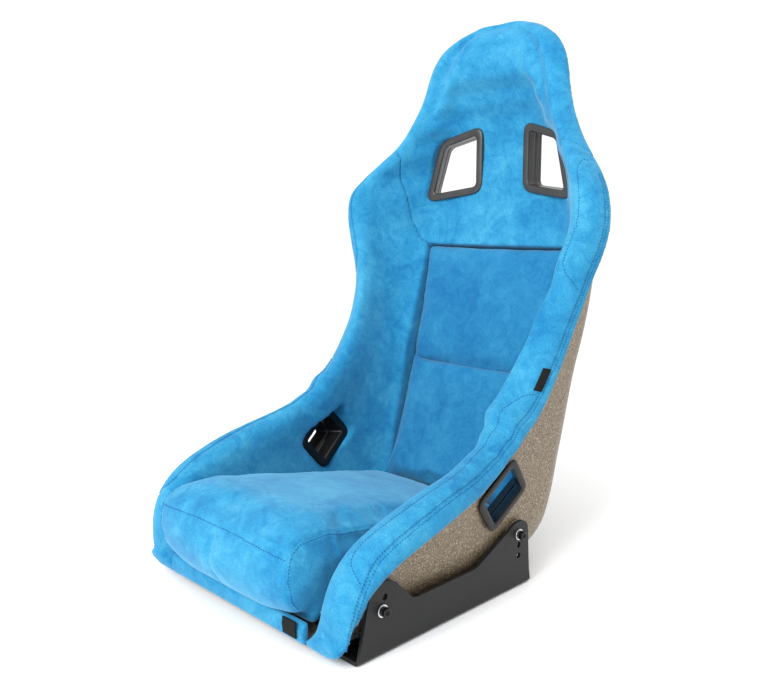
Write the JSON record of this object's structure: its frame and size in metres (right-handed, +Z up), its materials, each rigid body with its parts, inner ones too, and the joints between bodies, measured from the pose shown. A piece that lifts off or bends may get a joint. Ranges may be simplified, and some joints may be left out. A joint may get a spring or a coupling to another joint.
{
  "type": "racing bucket seat",
  "caption": "Fixed-back bucket seat: padded glass-fibre shell with harness slots, loose pads and side-mount floor brackets.",
  "frame": {"origin": "on the floor plane under the bracket feet, at the middle of the whole seat's width and depth", "axes": "+Z up, the occupant faces -Y, +X is the occupant's left"},
  "size_m": [0.555, 0.655, 0.87],
  "materials": {
    "gold_gelcoat": "champagne-gold metal-flake gel coat over glass-fibre laminate",
    "suede": "blue micro-suede with a brushed, mottled nap",
    "webbing": "black woven webbing",
    "foam": "open-cell polyurethane foam",
    "hook_tape": "black hook-and-loop tape",
    "slot_trim": "satin black moulded trim",
    "black_steel": "dark grey satin powder coat on folded steel plate",
    "bolt_steel": "black-oxide socket-head screw",
    "washer_steel": "zinc-plated washer",
    "insert_brass": "turned threaded insert"
  },
  "bodies": {
    "root": {"shell": "gold_gelcoat", "headrest_panel": "suede", "bolster_left": "suede", "bolster_right": "suede", "front_lip_cover": "suede", "cushion_strap": "webbing", "label_tab": "webbing", "seat_hook_tape_right": "hook_tape", "seat_hook_tape_left": "hook_tape", "lumbar_hook_tape_right": "hook_tape", "lumbar_hook_tape_left": "hook_tape", "upper_hook_tape_right": "hook_tape", "upper_hook_tape_left": "hook_tape", "shoulder_trim_left_front": "slot_trim", "shoulder_trim_left_rear": "slot_trim", "shoulder_trim_right_front": "slot_trim", "shoulder_trim_right_rear": "slot_trim", "lap_trim_left_front": "slot_trim", "lap_trim_left_rear": "slot_trim", "lap_trim_right_front": "slot_trim", "lap_trim_right_rear": "slot_trim", "bracket_left": "black_steel", "bracket_right": "black_steel", "bolt_front_right": "bolt_steel", "bolt_front_left": "bolt_steel", "bolt_rear_right": "bolt_steel", "bolt_rear_left": "bolt_steel", "washer_front_right": "washer_steel", "washer_front_left": "washer_steel", "washer_rear_right": "washer_steel", "washer_rear_left": "washer_steel", "threaded_insert_front_right": "insert_brass", "threaded_insert_front_left": "insert_brass", "threaded_insert_rear_right": "insert_brass", "threaded_insert_rear_left": "insert_brass"},
    "seat_cushion": {"seat_cushion_cover": "suede", "seat_cushion_foam": "foam"},
    "lumbar_pad": {"lumbar_pad": "suede"},
    "upper_back_pad": {"upper_back_pad": "suede"}
  },
  "joints": [
    {"name": "cushion_lift", "type": "slide", "parent": "root", "child": "seat_cushion", "axis": [0, 0, 1], "range_m": [0, 0.86]},
    {"name": "lumbar_pad_pull", "type": "slide", "parent": "root", "child": "lumbar_pad", "axis": [0, -0.9552, 0.2961], "range_m": [0, 0.66]},
    {"name": "upper_pad_pull", "type": "slide", "parent": "root", "child": "upper_back_pad", "axis": [0, -0.9552, 0.2961], "range_m": [0, 0.66]}
  ]
}
